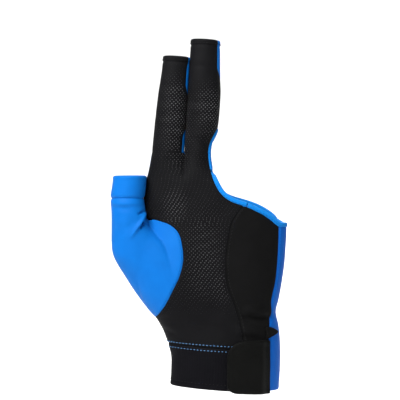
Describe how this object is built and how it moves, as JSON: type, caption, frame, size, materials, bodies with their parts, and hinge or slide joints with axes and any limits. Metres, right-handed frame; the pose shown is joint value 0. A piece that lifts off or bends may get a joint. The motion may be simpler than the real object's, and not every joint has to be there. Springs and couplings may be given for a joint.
{
  "type": "cue sports glove",
  "caption": "Thin stretch-knit glove for the bridge hand, with open thumb, index and middle stalls, a bound cutout for the other fingers and a hook-and-loop wrist tab.",
  "frame": {"origin": "centre of the wrist opening, in the plane of the cuff's hem", "axes": "+Z runs from the wrist to the fingertips, the palm faces -Y, +X points to the little-finger side"},
  "size_m": [0.1049, 0.0477, 0.21],
  "materials": {
    "dotted_knit": "black knit with small grip dots",
    "plain_knit": "plain black knit",
    "hem_knit": "turned hem of black knit",
    "cuff_elastic": "smooth black elastic",
    "blue_knit": "smooth blue stretch knit",
    "blue_binding": "folded blue binding tape",
    "blue_thread": "light blue sewing thread",
    "tab_fabric": "smooth black laminated fabric",
    "loop_pile": "brushed loop pile",
    "hook_tape": "moulded hooks on tape"
  },
  "bodies": {
    "glove_hand": {"palm_panel": "dotted_knit", "side_panel": "plain_knit", "thenar_panel": "blue_knit", "back_panel": "blue_knit", "side_strip": "blue_knit", "cuff_band": "cuff_elastic", "cuff_stitching": "blue_thread", "palm_binding": "blue_binding", "side_binding": "blue_binding", "thenar_seam": "blue_thread", "palm_side_seam": "plain_knit", "loop_patch": "loop_pile", "slit_flap": "plain_knit"},
    "thumb_stall": {"thumb_palm_side": "blue_knit", "thumb_back": "blue_knit", "thumb_hem": "blue_knit"},
    "index_root": {"index_root_palm_side": "dotted_knit", "index_root_back": "blue_knit", "index_root_gusset": "blue_knit"},
    "index_tip": {"index_tip_palm_side": "dotted_knit", "index_tip_back": "blue_knit", "index_tip_gusset": "blue_knit", "index_hem": "hem_knit"},
    "middle_root": {"middle_root_palm_side": "dotted_knit", "middle_root_back": "blue_knit", "middle_root_gusset": "blue_knit", "middle_root_binding": "blue_binding"},
    "middle_tip": {"middle_tip_palm_side": "dotted_knit", "middle_tip_back": "blue_knit", "middle_tip_gusset": "blue_knit", "middle_hem": "hem_knit"},
    "wrist_tab": {"closure_tab": "tab_fabric", "hook_patch": "hook_tape", "tab_stitching": "tab_fabric"}
  },
  "joints": [
    {"name": "thumb_bend", "type": "hinge", "parent": "glove_hand", "child": "thumb_stall", "pos_m": [-0.0576, -0.0114, 0.0942], "axis": [0.866, 0, 0.5], "range_deg": [0, 45]},
    {"name": "index_root_bend", "type": "hinge", "parent": "glove_hand", "child": "index_root", "pos_m": [-0.03448, -0.007, 0.1426], "axis": [0.9981, 0, -0.061], "range_deg": [0, 70]},
    {"name": "index_knuckle_bend", "type": "hinge", "parent": "index_root", "child": "index_tip", "pos_m": [-0.0334, -0.007, 0.16357], "axis": [0.9981, 0, -0.061], "range_deg": [0, 80]},
    {"name": "middle_root_bend", "type": "hinge", "parent": "glove_hand", "child": "middle_root", "pos_m": [-0.01632, -0.007, 0.14149], "axis": [0.9981, 0, -0.061], "range_deg": [0, 70]},
    {"name": "middle_knuckle_bend", "type": "hinge", "parent": "middle_root", "child": "middle_tip", "pos_m": [-0.01295, -0.007, 0.17033], "axis": [0.9981, 0, -0.061], "range_deg": [0, 80]},
    {"name": "tab_peel", "type": "hinge", "parent": "glove_hand", "child": "wrist_tab", "pos_m": [0.0262, -0.0177, 0.014], "axis": [0, 0, 1], "range_deg": [0, 140]}
  ]
}
